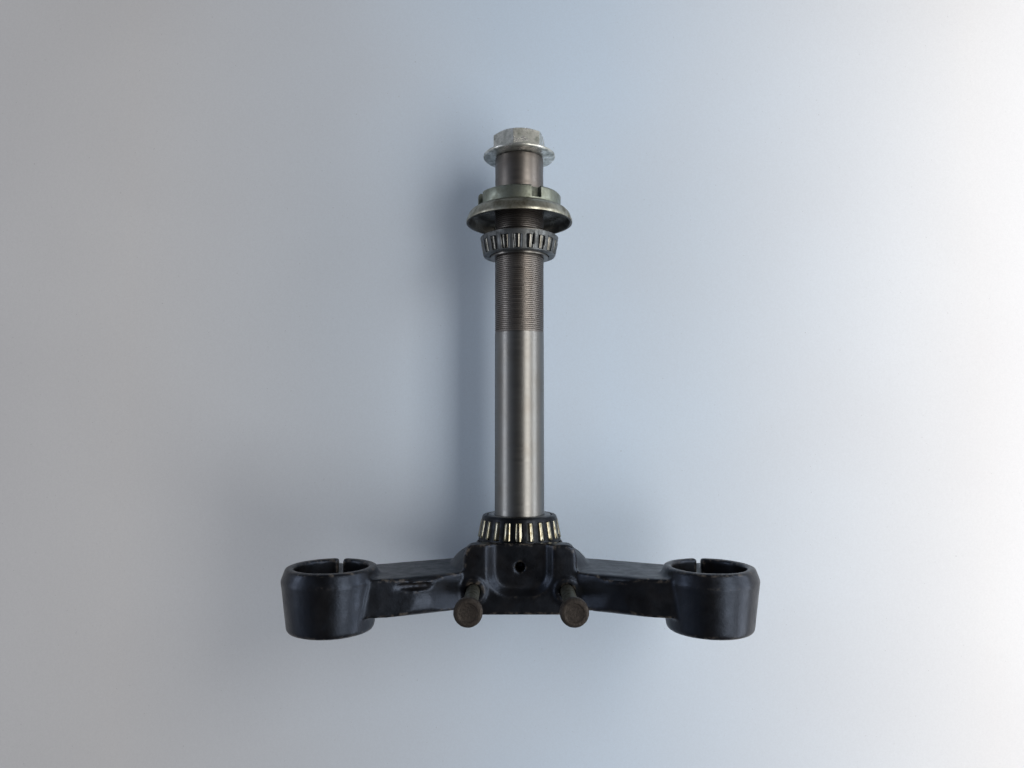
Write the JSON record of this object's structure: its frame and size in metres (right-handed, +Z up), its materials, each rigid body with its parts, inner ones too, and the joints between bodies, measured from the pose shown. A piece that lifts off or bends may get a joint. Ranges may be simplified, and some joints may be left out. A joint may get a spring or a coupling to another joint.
{
  "type": "motorcycle triple clamp",
  "caption": "Lower motorcycle triple clamp with pinch-bolted fork clamps, hollow steering stem, taper roller head bearings, dust cover, slotted ring nut and flanged head bolt.",
  "frame": {"origin": "on the stem's axis at the lower bearing's seat", "axes": "+Z up the steering stem, -Y to the front where the pins stand out, the fork clamps at +X and -X"},
  "size_m": [0.2164, 0.103, 0.2418],
  "materials": {
    "black_enamel": "semi-gloss black enamel on a forging, worn thin along its edges",
    "ground_steel": "ground steel with a satin shine",
    "seal_rubber": "matt black rubber",
    "bearing_steel": "ground bearing steel under a film of old grease",
    "cage_steel_dark": "blue-black pressed steel",
    "cage_steel_grey": "dull grey pressed steel",
    "roller_steel": "polished roller steel with a golden film of grease",
    "olive_zinc": "dulled olive zinc plate",
    "grey_zinc": "greenish-grey zinc plate",
    "bright_zinc": "zinc plate worn bright on the flats",
    "rusty_steel": "plated steel gone rusty brown"
  },
  "bodies": {
    "stem_and_yoke": {"lower_yoke": "black_enamel", "steering_stem": "ground_steel", "dust_seal": "seal_rubber", "lower_race": "bearing_steel", "head_bolt": "bright_zinc", "front_pin_left": "rusty_steel", "front_pin_right": "rusty_steel", "pinch_bolt_left": "grey_zinc", "pinch_bolt_right": "grey_zinc", "pinch_washer_left": "grey_zinc", "pinch_washer_right": "grey_zinc"},
    "lower_roller_set": {"lower_cage": "cage_steel_dark", "lower_rollers": "roller_steel"},
    "upper_ring": {"upper_race": "bearing_steel"},
    "upper_roller_set": {"upper_cage": "cage_steel_grey", "upper_rollers": "roller_steel"},
    "cover": {"dust_cover": "olive_zinc"},
    "nut": {"ring_nut": "grey_zinc"}
  },
  "joints": [
    {"name": "lower_bearing_spin", "type": "hinge", "parent": "stem_and_yoke", "child": "lower_roller_set", "pos_m": [0, 0, 0.008], "axis": [0, 0, 1], "continuous": true},
    {"name": "upper_bearing_slide", "type": "slide", "parent": "stem_and_yoke", "child": "upper_ring", "axis": [0, 0, 1], "range_m": [-0.1279, 0]},
    {"name": "upper_bearing_spin", "type": "hinge", "parent": "upper_ring", "child": "upper_roller_set", "pos_m": [0, 0, 0.149], "axis": [0, 0, 1], "continuous": true},
    {"name": "cover_slide", "type": "slide", "parent": "stem_and_yoke", "child": "cover", "axis": [0, 0, 1], "range_m": [-0.0105, 0]},
    {"name": "nut_spin", "type": "hinge", "parent": "cover", "child": "nut", "pos_m": [0, 0, 0.173], "axis": [0, 0, 1], "range_deg": [-3744, 0]}
  ],
  "couplings": [
    {"joint": "cover_slide", "follows": "nut_spin", "m_per_rad": 0.00015915}
  ]
}
